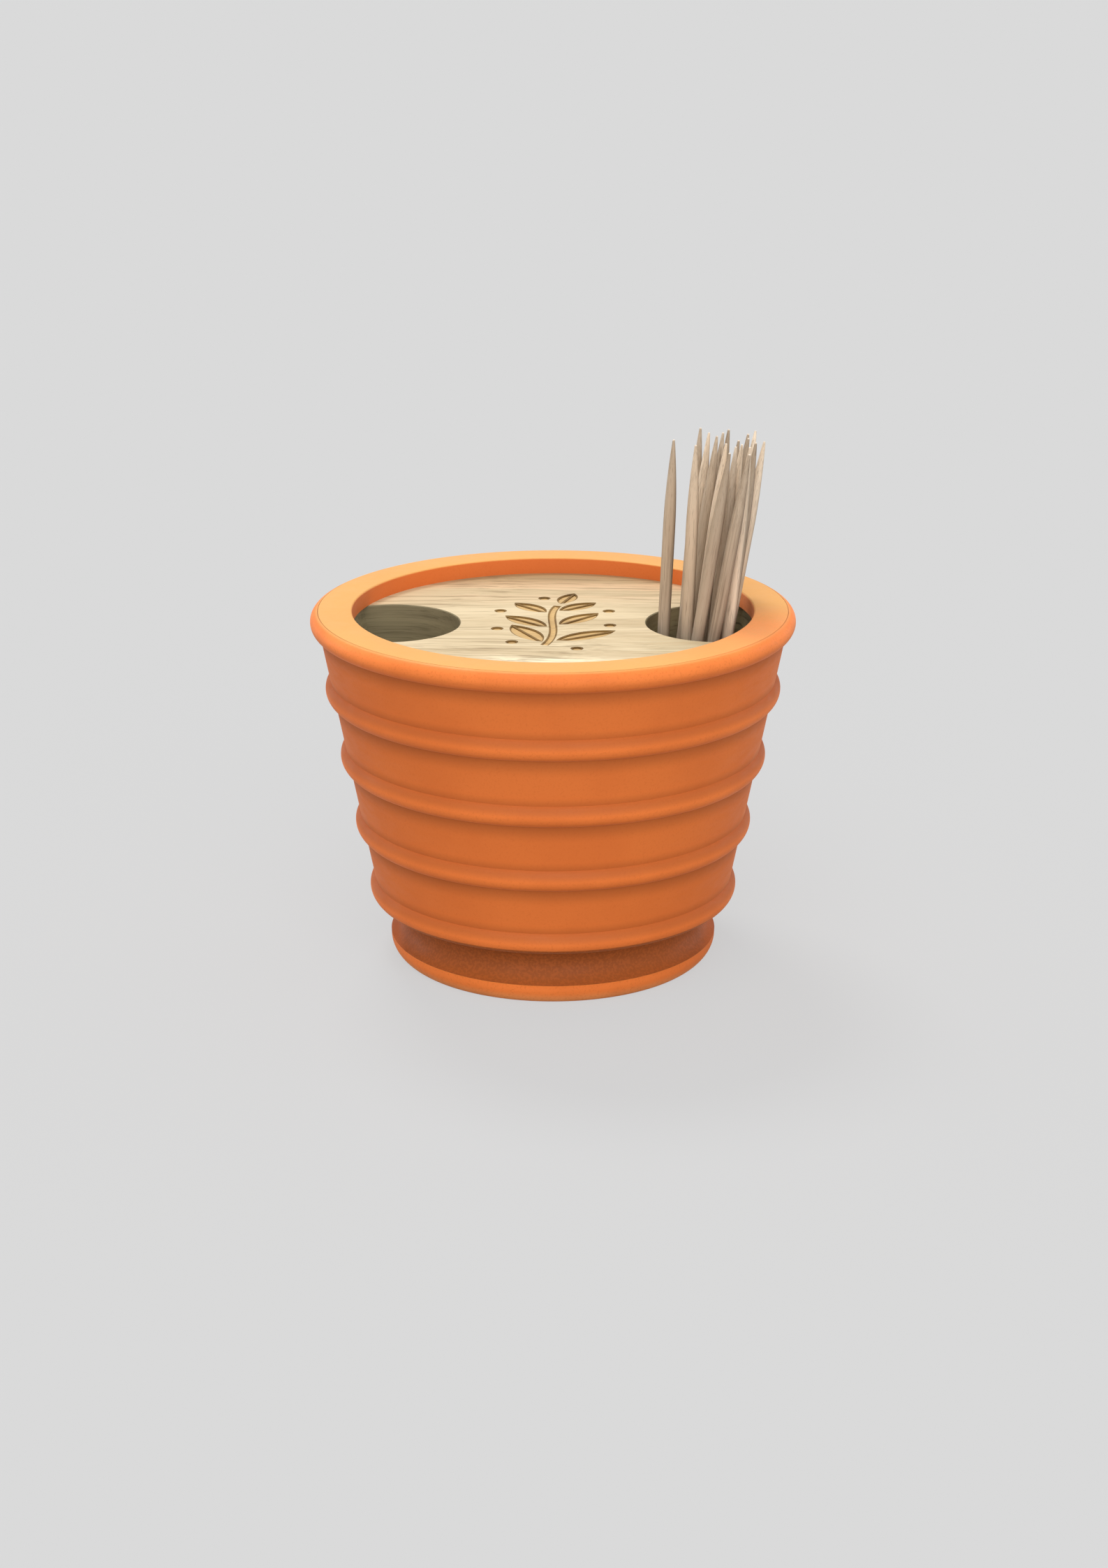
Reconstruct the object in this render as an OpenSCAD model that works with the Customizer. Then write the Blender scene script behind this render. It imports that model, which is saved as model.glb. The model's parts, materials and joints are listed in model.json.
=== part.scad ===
// Toothpick holder: a ribbed round pot, a wooden insert with two pockets that
// hangs from a flat rim collar, and loose round toothpicks in the right pocket.
// The origin is the middle of the base on the table. X runs to the right, Y to
// the back and Z up.

/* [Pot] */
// Diameter across the rolled bead at the rim
rim_d = 80; // [74:1:100]
// Height of the pot from the table to the flat rim
pot_h = 59.5; // [54:0.5:72]
// Lean of the wall away from upright, in degrees
wall_lean = 11; // [8:0.5:13]
// Thickness of the moulded wall
pot_wall = 2.6; // [2:0.1:3.2]
// Thickness of the pot's floor
pot_floor = 3.5; // [2.5:0.1:4.5]

/* [Bead and ribs] */
// Radius of the rolled bead under the rim
bead_r = 1.75; // [1.5:0.05:2.2]
// How far the bead stands out from the wall
bead_proud = 1.2; // [0.9:0.05:1.5]
// Number of ribs round the wall
rib_count = 4; // [2:1:4]
// Radius of a rib's rounded section
rib_r = 2.08; // [1.5:0.02:2.4]
// How far a rib stands out from the wall
rib_proud = 1.16; // [0.6:0.02:1.4]

/* [Foot] */
// Height of the foot's band
foot_h = 3.3; // [2.8:0.1:4.5]
// How far the foot's lower edge is rounded in from the band
foot_in = 1.5; // [0.8:0.1:2]
// Height at which the rounding of the foot's lower edge ends
foot_turn_h = 2.8; // [2:0.1:3.2]
// Depth of the groove's neck inside the foot's band
neck_in = 2.15; // [1.5:0.05:2.5]
// Width of the flat ring that the foot stands on
base_ring_w = 5; // [3:0.1:8]
// Depth of the hollow under the foot
base_hollow_h = 2.5; // [1:0.1:3]

/* [Rim collar] */
// Width of the pot's own lip outside the collar
rim_lip = 1.24; // [1:0.02:1.6]
// Width of the flat collar that lies in the rim
collar_w = 5.6; // [4.5:0.1:6]
// Thickness of the collar, which is also how deep the wood lies in the mouth
collar_h = 2.8; // [2:0.1:3.2]
// Radius that eases the collar's edge at the mouth
collar_ease = 0.35; // [0.2:0.05:0.6]
// Radius that eases the collar's outer edge, where it meets the pot
seam_ease = 0.12; // [0.05:0.01:0.2]
// Running clearance round the collar in the rim
collar_fit = 0.06; // [0.02:0.01:0.1]

/* [Wooden insert] */
// Diameter of each round pocket
pocket_d = 23.4; // [22.8:0.1:25]
// How far a pocket's middle lies inside the edge of the mouth
pocket_in = 6.05; // [5:0.05:8]
// Depth of the pockets below the wood's top face
pocket_depth = 34; // [30:0.5:36]
// Wood left between a pocket and the outside of the insert
insert_wall = 1.6; // [1.2:0.1:1.9]
// Wood left under the pockets
insert_floor = 3; // [2:0.1:4]
// Clearance between the insert and the pot's inner wall
insert_gap = 0.45; // [0.3:0.05:0.8]
// Width of the eased edge round a pocket's mouth
pocket_ease = 0.3; // [0.1:0.05:0.5]

/* [Toothpicks] */
// Diameter of a toothpick
pick_d = 2; // [1.8:0.05:2.1]
// Length of a toothpick
pick_len = 65; // [55:1:75]
// Length of each pointed end
pick_taper = 14.6; // [8:0.2:18]
// Diameter of the blunt tip
pick_tip_d = 0.35; // [0.2:0.05:0.6]
// Clearance between toothpicks that stand one pitch apart
pick_gap = 0.1; // [0.06:0.01:0.14]
// Clearance between a toothpick's foot and the pocket's floor
foot_clear = 0.05; // [0.02:0.01:0.1]

/* [Hidden] */
$fn = 96;
overrun = 1;
taper_steps = 6;
taper_swell_share = 0.9;
pot_colour = [0.84, 0.44, 0.23];
wood_colour = [0.88, 0.80, 0.65];
pick_colour = [0.82, 0.69, 0.55];

// Where each toothpick stands, from the front of the right pocket to its back.
// The shares of the pick pitch are the foot's place to the right and to the
// back of the pocket's middle, and then the upper tip's place.
pick_shares = [
    [-4.0, -2.7, 0.5, -4.2], [-3.0, -2.8, 2.0, -4.3],
    [-2.9, -1.7, -2.0, -2.8], [-1.8, -1.9, 1.05, -2.9], [-0.8, -2.2, 2.1, -3.1],
    [-3.3, -0.6, 0.4, -1.3], [-2.2, -0.9, 1.6, -1.6],
    [-4.8, -0.3, -3.6, -0.8], [-2.6, 0.2, 1.45, 0.1], [-1.2, -0.8, 2.7, -0.9],
    [-3.9, 0.9, -0.15, 1.6], [-2.6, 1.2, 2.3, 1.5], [-1.6, 0.5, 3.45, 0.3],
    [-4.2, 1.9, -0.7, 2.8], [-3.1, 2.0, 0.4, 2.8], [-1.9, 2.1, 2.35, 2.7],
    [-3.4, 2.9, -1.3, 4.1], [-2.3, 3.0, 0.9, 3.9], [-1.2, 3.1, 3.0, 3.9]
];

// The wall is a cone that passes just inside the bead's outermost line
rim_r = rim_d / 2;
bead_z = pot_h - bead_r;
function wall_r(z) = rim_r - bead_proud - (bead_z - z) * tan(wall_lean);
function inner_r(z) = wall_r(z) - pot_wall / cos(wall_lean);

// The ribs share the height between the table and the bead evenly
rib_pitch = bead_z / (rib_count + 1);
rib_inset = rib_r - rib_proud;
function rib_mid(k) = [
    wall_r(k * rib_pitch) - rib_inset * cos(wall_lean),
    k * rib_pitch + rib_inset * sin(wall_lean)
];

// The foot's band is as wide as the wall's cone would be at the table, and its
// lower edge is an arc that ends upright at that width
foot_r = wall_r(0);
foot_arc_r = (foot_in ^ 2 + foot_turn_h ^ 2) / (2 * foot_in);
base_hollow_r = foot_r - foot_in - base_ring_w;
floor_z = base_hollow_h + pot_floor;

// The groove runs from the foot's band to the underside of the lowest rib
low_rib = rib_mid(1);
groove_top = low_rib[1] - rib_r;
groove_bite = foot_h / 30;
groove_r = (groove_top - foot_h) / 2 + groove_bite;
groove_mid = [foot_r - neck_in + groove_r, (groove_top + foot_h) / 2];

// The collar lies on a ledge inside the rim, with its top flush with the rim
ledge_z = pot_h - collar_h;
rebate_r = rim_r - rim_lip;
collar_r = rebate_r - collar_fit;
mouth_r = collar_r - collar_w;

pocket_x = mouth_r - pocket_in;
pocket_floor_z = ledge_z - pocket_depth;
insert_base_z = pocket_floor_z - insert_floor;
function insert_r(z) = inner_r(z) - insert_gap;

// Each toothpick goes from its foot on the pocket's floor to its upper tip
pick_pitch = pick_d + pick_gap;
function pick_run(share) = pick_pitch * [share[2] - share[0], share[3] - share[1]];
function pick_lean(share) = asin(norm(pick_run(share)) / pick_len);
function pick_turn(share) = atan2(pick_run(share)[1], pick_run(share)[0]);
function pick_foot(share) = [
    pocket_x + share[0] * pick_pitch,
    share[1] * pick_pitch,
    pocket_floor_z + foot_clear + pick_tip_d / 2 * sin(pick_lean(share))
];

// A toothpick stands only where its foot, its full girth and its place in the
// pocket's mouth are clear of the pocket's round wall and its outer wall
function pick_at(share, up) = [
    share[0] * pick_pitch + pick_run(share)[0] * up / pick_len,
    share[1] * pick_pitch + pick_run(share)[1] * up / pick_len
];
function clears(share, up, girth_r) =
    norm(pick_at(share, up)) + girth_r + pick_gap < pocket_d / 2
    && norm(pick_at(share, up) + [pocket_x, 0]) + girth_r + pick_gap
        < insert_r(pocket_floor_z + up) - insert_wall;
standing_shares = [
    for (share = pick_shares)
        if (clears(share, 0, pick_tip_d / 2)
            && clears(share, pick_taper, pick_d / 2)
            && clears(share, pocket_depth, pick_d / 2)) share
];

// Half section of the pot as if it were solid: foot, neck, wall, ribs and bead
module pot_outline() {
    difference() {
        union() {
            polygon([
                [0, 0],
                [foot_r, 0],
                [foot_r, foot_h],
                [low_rib[0], groove_top],
                low_rib,
                [wall_r(low_rib[1]), low_rib[1]],
                [wall_r(bead_z), bead_z],
                [rim_r - bead_r, pot_h],
                [0, pot_h]
            ]);
            for (k = [1 : rib_count]) translate(rib_mid(k)) circle(r = rib_r);
            translate([rim_r - bead_r, bead_z]) circle(r = bead_r);
        }
        translate(groove_mid) circle(r = groove_r);
        foot_edge_cut();
    }
}

// What the rounding takes off the foot's lower edge
module foot_edge_cut() {
    difference() {
        translate([foot_r - foot_in - overrun, -overrun])
            square([foot_in + 2 * overrun, foot_turn_h + overrun]);
        translate([foot_r - foot_arc_r, foot_turn_h]) circle(r = foot_arc_r);
    }
}

// The room inside the pot, which follows the wall and the groove
module cavity_outline() {
    difference() {
        polygon([
            [0, floor_z],
            [inner_r(floor_z), floor_z],
            [inner_r(ledge_z), ledge_z],
            [rebate_r, ledge_z],
            [rebate_r, pot_h + overrun],
            [0, pot_h + overrun]
        ]);
        translate(groove_mid) circle(r = groove_r + pot_wall);
    }
}

module pot_body() {
    color(pot_colour)
    rotate_extrude() difference() {
        pot_outline();
        cavity_outline();
        translate([0, -overrun]) square([base_hollow_r, base_hollow_h + overrun]);
    }
}

// What a quarter round of this radius takes off a corner at the origin
module edge_cut(ease) {
    difference() {
        translate([-overrun, -ease]) square([ease + overrun, ease + overrun]);
        translate([ease, -ease]) circle(r = ease);
    }
}

// Flat ring that lies on the pot's ledge and forms the mouth
module rim_collar() {
    color(pot_colour)
    rotate_extrude() difference() {
        translate([mouth_r, ledge_z]) square([collar_w, collar_h]);
        translate([mouth_r, pot_h]) edge_cut(collar_ease);
        translate([collar_r, pot_h]) mirror([1, 0]) edge_cut(seam_ease);
    }
}

// Tapered block of wood with two pockets that run out to a thin outer wall
module wood_insert() {
    color(wood_colour)
    difference() {
        insert_cone(insert_base_z, ledge_z, 0);
        for (side = [-1, 1]) intersection() {
            translate([side * pocket_x, 0, 0]) pocket_bore();
            insert_cone(pocket_floor_z - overrun, ledge_z + overrun, insert_wall);
        }
    }
}

module insert_cone(low_z, high_z, inset) {
    translate([0, 0, low_z]) cylinder(
        h = high_z - low_z,
        r1 = insert_r(low_z) - inset,
        r2 = insert_r(high_z) - inset
    );
}

module pocket_bore() {
    translate([0, 0, pocket_floor_z])
        cylinder(h = pocket_depth + overrun, d = pocket_d);
    translate([0, 0, ledge_z - pocket_ease])
        cylinder(h = 2 * pocket_ease, d1 = pocket_d, d2 = pocket_d + 4 * pocket_ease);
}

// Radius of a toothpick at a share of the way up its pointed end
function taper_r(share) =
    pick_tip_d / 2 + (pick_d - pick_tip_d) / 2 * sin(90 * share) ^ taper_swell_share;

module toothpick(share) {
    lower = [for (i = [0 : taper_steps])
        [taper_r(i / taper_steps), i / taper_steps * pick_taper]];
    upper = [for (i = [taper_steps : -1 : 0])
        [taper_r(i / taper_steps), pick_len - i / taper_steps * pick_taper]];
    color(pick_colour)
    translate(pick_foot(share)) rotate([0, pick_lean(share), pick_turn(share)])
        rotate_extrude() polygon(concat([[0, 0]], lower, upper, [[0, pick_len]]));
}

pot_body();
rim_collar();
wood_insert();
for (i = [1 : len(standing_shares)])
    toothpick(standing_shares[i - 1]);
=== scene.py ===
import json
import math

import bpy
from mathutils import Matrix, Vector


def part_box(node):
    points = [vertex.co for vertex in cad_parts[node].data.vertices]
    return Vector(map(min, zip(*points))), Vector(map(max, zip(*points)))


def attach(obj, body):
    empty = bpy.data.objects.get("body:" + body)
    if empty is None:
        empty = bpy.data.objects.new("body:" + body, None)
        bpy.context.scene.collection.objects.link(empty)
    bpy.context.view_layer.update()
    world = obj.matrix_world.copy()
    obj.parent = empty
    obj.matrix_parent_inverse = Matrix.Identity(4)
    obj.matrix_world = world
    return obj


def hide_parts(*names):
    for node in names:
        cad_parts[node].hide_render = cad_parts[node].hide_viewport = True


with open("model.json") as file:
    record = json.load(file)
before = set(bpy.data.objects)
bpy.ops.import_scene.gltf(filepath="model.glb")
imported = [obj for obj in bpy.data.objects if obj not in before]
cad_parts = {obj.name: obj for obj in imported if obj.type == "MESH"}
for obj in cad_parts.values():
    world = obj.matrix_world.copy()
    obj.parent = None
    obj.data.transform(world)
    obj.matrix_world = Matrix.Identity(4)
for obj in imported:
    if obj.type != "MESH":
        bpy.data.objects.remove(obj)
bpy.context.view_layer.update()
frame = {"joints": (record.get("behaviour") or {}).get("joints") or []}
print("frame loaded")

mm = 0.001
weldGap = 0.0005  # in mm


# Small helpers

def fromScreen(red, green, blue):
    # a colour picked on screen, 0 to 255, as a node colour
    linear = []
    for value in (red, green, blue):
        v = value / 255
        linear.append(v / 12.92 if v <= 0.04045 else ((v + 0.055) / 1.055) ** 2.4)
    return (linear[0], linear[1], linear[2], 1.0)


def deselectAll():
    if bpy.context.object and bpy.context.object.mode != "OBJECT":
        bpy.ops.object.mode_set(mode="OBJECT")
    bpy.ops.object.select_all(action="DESELECT")


def makeActive(piece):
    deselectAll()
    piece.select_set(True)
    bpy.context.view_layer.objects.active = piece


def bakePlace(piece):
    # the place, turn and size go into the mesh and the object stays at the origin
    makeActive(piece)
    bpy.ops.object.transform_apply(location=True, rotation=True, scale=True)


def arcPoints(midX, midZ, radius, startDeg, endDeg, steps):
    points = []
    for i in range(steps + 1):
        a = math.radians(startDeg + (endDeg - startDeg) * i / steps)
        points.append((midX + radius * math.cos(a), midZ + radius * math.sin(a)))
    return points


def crossing(start, end, mid, radius, last=False):
    # where the line from start to end goes through a circle
    d = Vector(end) - Vector(start)
    f = Vector(start) - Vector(mid)
    a, b, c = d.dot(d), 2 * f.dot(d), f.dot(f) - radius * radius
    root = math.sqrt(b * b - 4 * a * c)
    t = (-b + root) / (2 * a) if last else (-b - root) / (2 * a)
    return Vector(start) + d * t


def angleOf(point, mid):
    return math.degrees(math.atan2(point[1] - mid[1], point[0] - mid[0]))


def drawLine(points):
    # one vertex pulled from point to point, in mm; the piece is left in edit mode
    deselectAll()
    bpy.ops.mesh.primitive_plane_add(size=mm, location=(0, 0, 0))
    piece = bpy.context.object
    bpy.ops.object.mode_set(mode="EDIT")
    bpy.ops.mesh.merge(type="CENTER")
    bpy.ops.mesh.select_all(action="SELECT")
    bpy.ops.transform.translate(value=[v * mm for v in points[0]])
    for before, after in zip(points, points[1:]):
        step = [(b - a) * mm for a, b in zip(before, after)]
        bpy.ops.mesh.extrude_region_move(TRANSFORM_OT_translate={"value": step})
    return piece


def weld(gap=weldGap):
    # points closer than the gap become one
    bpy.ops.mesh.select_all(action="SELECT")
    bpy.ops.mesh.remove_doubles(threshold=gap * mm)


def turnOutline(name, outline, steps, closed):
    # an outline in X and Z, in mm, spun round Z
    piece = drawLine([(x, 0, z) for x, z in outline])
    if closed:
        bpy.ops.mesh.select_all(action="DESELECT")
        bpy.ops.object.mode_set(mode="OBJECT")
        piece.data.vertices[0].select = True
        piece.data.vertices[len(outline) - 1].select = True
        bpy.ops.object.mode_set(mode="EDIT")
        bpy.ops.mesh.edge_face_add()
    bpy.ops.mesh.select_all(action="SELECT")
    bpy.ops.mesh.spin(steps=steps, angle=2 * math.pi, center=(0, 0, 0), axis=(0, 0, 1))
    weld()
    bpy.ops.mesh.normals_make_consistent(inside=False)
    bpy.ops.object.mode_set(mode="OBJECT")
    piece.name = piece.data.name = name
    bakePlace(piece)
    return piece


def smoothBelow(piece, degrees):
    makeActive(piece)
    bpy.ops.object.shade_smooth_by_angle(angle=math.radians(degrees))


def cutWith(piece, cutter, operation="DIFFERENCE"):
    makeActive(piece)
    cut = piece.modifiers.new("cut", "BOOLEAN")
    cut.operation = operation
    cut.object = cutter
    cut.solver = "EXACT"
    bpy.ops.object.modifier_apply(modifier=cut.name)
    bpy.data.objects.remove(cutter)


# Pot

pot = {
    "rimRadius": 40.0, "height": 59.5, "wallLean": 11.0, "wall": 2.6, "floor": 3.5,
    "beadRadius": 1.75, "beadProud": 1.2,
    "ribs": 4, "ribRadius": 2.08, "ribProud": 1.16,
    "footHeight": 3.3, "footIn": 1.5, "footTurnHeight": 2.8, "neckIn": 2.15,
    "standingRing": 5.0, "baseHollow": 2.5,
    "lip": 1.24, "ledgeDepth": 2.8,
    "turnSteps": 192, "arcSteps": 20, "smoothDeg": 32,
}
leanTan = math.tan(math.radians(pot["wallLean"]))
beadZ = pot["height"] - pot["beadRadius"]
ledgeZ = pot["height"] - pot["ledgeDepth"]
rebateRadius = pot["rimRadius"] - pot["lip"]


def wallRadius(z):
    return pot["rimRadius"] - pot["beadProud"] - (beadZ - z) * leanTan


def innerRadius(z):
    return wallRadius(z) - pot["wall"] / math.cos(math.radians(pot["wallLean"]))


def ribMiddle(k):
    z = k * beadZ / (pot["ribs"] + 1)
    inset = pot["ribRadius"] - pot["ribProud"]
    lean = math.radians(pot["wallLean"])
    return (wallRadius(z) - inset * math.cos(lean), z + inset * math.sin(lean))


# the groove over the foot is part of a circle that reaches a little past both of its edges
footR = wallRadius(0)
lowRib = ribMiddle(1)
grooveTop = lowRib[1] - pot["ribRadius"]
groovePast = pot["footHeight"] / 30
grooveR = (grooveTop - pot["footHeight"]) / 2 + groovePast
grooveMid = (footR - pot["neckIn"] + grooveR, (grooveTop + pot["footHeight"]) / 2)


def potOutline():
    n = pot["arcSteps"]
    footIn, turnH = pot["footIn"], pot["footTurnHeight"]
    footArc = (footIn ** 2 + turnH ** 2) / (2 * footIn)
    hollowR = footR - footIn - pot["standingRing"]
    points = [(0, pot["baseHollow"]), (hollowR, pot["baseHollow"]), (hollowR, 0)]
    # foot: rounded lower edge, band, and the groove that makes the neck
    start = -math.degrees(math.asin(turnH / footArc))
    points += arcPoints(footR - footArc, turnH, footArc, start, 0, n // 2)
    points.append((footR, pot["footHeight"]))
    low = crossing((footR, pot["footHeight"]), (lowRib[0], grooveTop), grooveMid, grooveR)
    apart = math.dist(lowRib, grooveMid)
    along = (grooveR ** 2 - pot["ribRadius"] ** 2 + apart ** 2) / (2 * apart)
    toRib = angleOf(lowRib, grooveMid)
    high = toRib - math.degrees(math.acos(along / grooveR))
    points += arcPoints(*grooveMid, grooveR, angleOf(low, grooveMid) + 360, high, 2 * n)
    # ribs up the wall, the lowest of which starts at the groove
    half = math.degrees(math.acos((pot["ribRadius"] - pot["ribProud"]) / pot["ribRadius"]))
    for k in range(1, pot["ribs"] + 1):
        mid = ribMiddle(k)
        begin = -pot["wallLean"] - half
        if k == 1:
            begin = angleOf(points.pop(), mid)
        points += arcPoints(*mid, pot["ribRadius"], begin, half - pot["wallLean"], n)
    # rolled bead, the pot's own lip, the rebate and the ledge that carries the collar
    beadX = pot["rimRadius"] - pot["beadRadius"]
    under = crossing((wallRadius(0), 0), (wallRadius(beadZ), beadZ), (beadX, beadZ), pot["beadRadius"])
    lipDeg = math.degrees(math.acos((rebateRadius - beadX) / pot["beadRadius"]))
    points += arcPoints(beadX, beadZ, pot["beadRadius"], angleOf(under, (beadX, beadZ)), lipDeg, n + 4)
    points += [(rebateRadius, ledgeZ), (innerRadius(ledgeZ), ledgeZ)]
    # inside, following the wall and then the groove down to the floor
    floorZ = pot["baseHollow"] + pot["floor"]
    innerR = grooveR + pot["wall"]
    inner = crossing((innerRadius(0), 0), (innerRadius(beadZ), beadZ), grooveMid, innerR, last=True)
    end = 180 + math.degrees(math.asin((grooveMid[1] - floorZ) / innerR))
    points += arcPoints(*grooveMid, innerR, angleOf(inner, grooveMid), end, n)
    points.append((0, floorZ))
    return points


potPiece = turnOutline("pot", potOutline(), pot["turnSteps"], False)
smoothBelow(potPiece, pot["smoothDeg"])
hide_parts("pot_body")
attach(potPiece, "pot")
print("pot turned")


# Rim collar

collar = {
    "fit": 0.06, "width": 5.6, "mouthEase": 0.35, "mouthSteps": 8, "seamEase": 0.12, "seamSteps": 4,
    "turnSteps": 192, "smoothDeg": 32,
}
collarRadius = rebateRadius - collar["fit"]
mouthRadius = collarRadius - collar["width"]


def collarOutline():
    top, mouth, seam = pot["height"], collar["mouthEase"], collar["seamEase"]
    points = [(mouthRadius, ledgeZ), (collarRadius, ledgeZ)]
    points += arcPoints(collarRadius - seam, top - seam, seam, 0, 90, collar["seamSteps"])
    points += arcPoints(mouthRadius + mouth, top - mouth, mouth, 90, 180, collar["mouthSteps"])
    return points


collarPiece = turnOutline("collar", collarOutline(), collar["turnSteps"], True)
smoothBelow(collarPiece, collar["smoothDeg"])
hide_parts("rim_collar")
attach(collarPiece, "lid")
print("collar turned")


# Wooden insert with its pockets and a carved sprig

insert = {
    "pocketRadius": 11.7, "pocketIn": 6.05, "pocketDepth": 34.0, "pocketEase": 0.14,
    "wall": 1.6, "floor": 3.0, "gap": 0.45, "overrun": 1.0, "sides": 192, "pocketSides": 96, "smoothDeg": 32,
}
pocketX = mouthRadius - insert["pocketIn"]
pocketFloorZ = ledgeZ - insert["pocketDepth"]
insertBaseZ = pocketFloorZ - insert["floor"]


def insertRadius(z):
    return innerRadius(z) - insert["gap"]


def addCone(lowZ, highZ, lowR, highR, x, sides):
    deselectAll()
    bpy.ops.mesh.primitive_cone_add(
        vertices=sides, radius1=lowR * mm, radius2=highR * mm, depth=(highZ - lowZ) * mm,
        location=(x * mm, 0, (lowZ + highZ) / 2 * mm))
    cone = bpy.context.object
    bakePlace(cone)
    return cone


def pocketCutter(side):
    # a bore with an eased mouth, kept inside the block's own outer wall
    over, ease, bore = insert["overrun"], insert["pocketEase"], insert["pocketRadius"]
    x, sides = side * pocketX, insert["pocketSides"]
    cutter = addCone(pocketFloorZ, ledgeZ + over, bore, bore, x, sides)
    flare = addCone(ledgeZ - ease, ledgeZ + ease, bore, bore + 2 * ease, x, sides)
    cutWith(cutter, flare, "UNION")
    low, high = pocketFloorZ - over, ledgeZ + 2 * over
    lowR, highR = insertRadius(low) - insert["wall"], insertRadius(high) - insert["wall"]
    cutWith(cutter, addCone(low, high, lowR, highR, 0, insert["sides"]), "INTERSECT")
    return cutter


insertPiece = addCone(
    insertBaseZ, ledgeZ, insertRadius(insertBaseZ), insertRadius(ledgeZ), 0, insert["sides"])
insertPiece.name = insertPiece.data.name = "woodInsert"
for side in (-1, 1):
    cutWith(insertPiece, pocketCutter(side))

# a sprig carved between the pockets: a burnt line round each shape and a deeper floor inside it
sprig = {
    "lineDepth": 0.07, "lineWidth": 0.25, "floorDepth": 0.28, "over": 0.6,
    "stem": ((-1.4, -13.6), (1.8, -5.0), (-1.7, 3.5), (0.8, 10.8)), "stemWidth": 0.9,
    "curveSteps": 40, "roundSteps": 4, "arcSteps": 28,
    "leafPairs": 3, "firstLeaf": 0.03, "lastLeaf": 0.77, "stagger": 0.05,
    "leafLength": 11.0, "leafWidth": 3.9, "leafTurn": 46, "leafGap": 1.7, "midrib": 0.4,
    "shrink": 0.3, "widthKept": 0.45, "widthShrunk": 0.55, "tipLength": 6.8, "tipWidthShare": 0.7,
    "berryRadius": 0.8, "berrySides": 32,
    "berrySpots": (  # share of the stem, and mm to its side
        (0.0, 5.6), (0.0, -5.6), (0.46, 9.4), (0.4, -9.2), (0.95, 9.2), (0.82, -8.8), (1.13, -4.2)),
}


def stemPoint(share):
    # a Bezier curve through the four handles
    a, b, c, d = [Vector(p) for p in sprig["stem"]]
    t, u = share, 1 - share
    place = a * u ** 3 + b * 3 * u * u * t + c * 3 * u * t * t + d * t ** 3
    along = (b - a) * u * u + (c - b) * 2 * u * t + (d - c) * t * t
    return place, along.normalized()


def addSlab(outline, depth):
    # a closed outline in X and Y, in mm, filled and pulled up from the carving's floor
    slab = drawLine([(x, y, ledgeZ - depth) for x, y in outline])
    bpy.ops.mesh.select_all(action="SELECT")
    bpy.ops.mesh.edge_face_add()
    bpy.ops.mesh.extrude_region_move(
        TRANSFORM_OT_translate={"value": (0, 0, (depth + sprig["over"]) * mm)})
    bpy.ops.mesh.select_all(action="SELECT")
    bpy.ops.mesh.normals_make_consistent(inside=False)
    bpy.ops.object.mode_set(mode="OBJECT")
    return slab


def leafArc(length, width, inner):
    # the bulging edge of a pointed leaf, from its base to its tip, no nearer the middle than inner
    radius = (length ** 2 + width ** 2) / (4 * width)
    reach = math.sqrt(radius ** 2 - (radius - width / 2 + inner) ** 2)
    half = math.degrees(math.asin(reach / radius))
    return arcPoints(0, width / 2 - radius, radius, 90 + half, 90 - half, sprig["arcSteps"])


def leafCutters(length, width, depth, midrib):
    # one full leaf, or its two halves on either side of a raised midrib
    if midrib:
        edge = leafArc(length, width, midrib / 2)
        return [addSlab(edge, depth), addSlab([(x, -y) for x, y in reversed(edge)], depth)]
    edge = leafArc(length, width, 0)
    return [addSlab(edge + [(x, -y) for x, y in reversed(edge[1:-1])], depth)]


def standAt(cutters, x, y, turnDeg):
    for cutter in cutters:
        cutter.rotation_euler = (0, 0, math.radians(turnDeg))
        cutter.location = (x * mm, y * mm, 0)
        bakePlace(cutter)
    return cutters


def joined(cutters):
    deselectAll()
    for cutter in cutters:
        cutter.select_set(True)
    bpy.context.view_layer.objects.active = cutters[0]
    bpy.ops.object.join()
    return cutters[0]


def stemCutter(width, depth):
    deselectAll()
    bpy.ops.curve.primitive_bezier_curve_add(location=(0, 0, 0))
    stem = bpy.context.object
    a, b, c, d = [Vector((p[0] * mm, p[1] * mm, 0)) for p in sprig["stem"]]
    start, end = stem.data.splines[0].bezier_points
    for point in (start, end):
        point.handle_left_type = point.handle_right_type = "FREE"
    start.co, start.handle_left, start.handle_right = a, a * 2 - b, b
    end.co, end.handle_left, end.handle_right = d, c, d * 2 - c
    stem.data.resolution_u = sprig["curveSteps"]
    stem.data.bevel_depth = width / 2 * mm
    stem.data.bevel_resolution = sprig["roundSteps"]
    stem.data.use_fill_caps = True
    bpy.ops.object.convert(target="MESH")
    stem = bpy.context.object
    bpy.ops.object.mode_set(mode="EDIT")
    weld(2 * weldGap)
    bpy.ops.mesh.normals_make_consistent(inside=False)
    bpy.ops.object.mode_set(mode="OBJECT")
    stem.scale = (1, 1, 2 * depth / width)
    stem.location = (0, 0, ledgeZ * mm)
    bakePlace(stem)
    return stem


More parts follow.
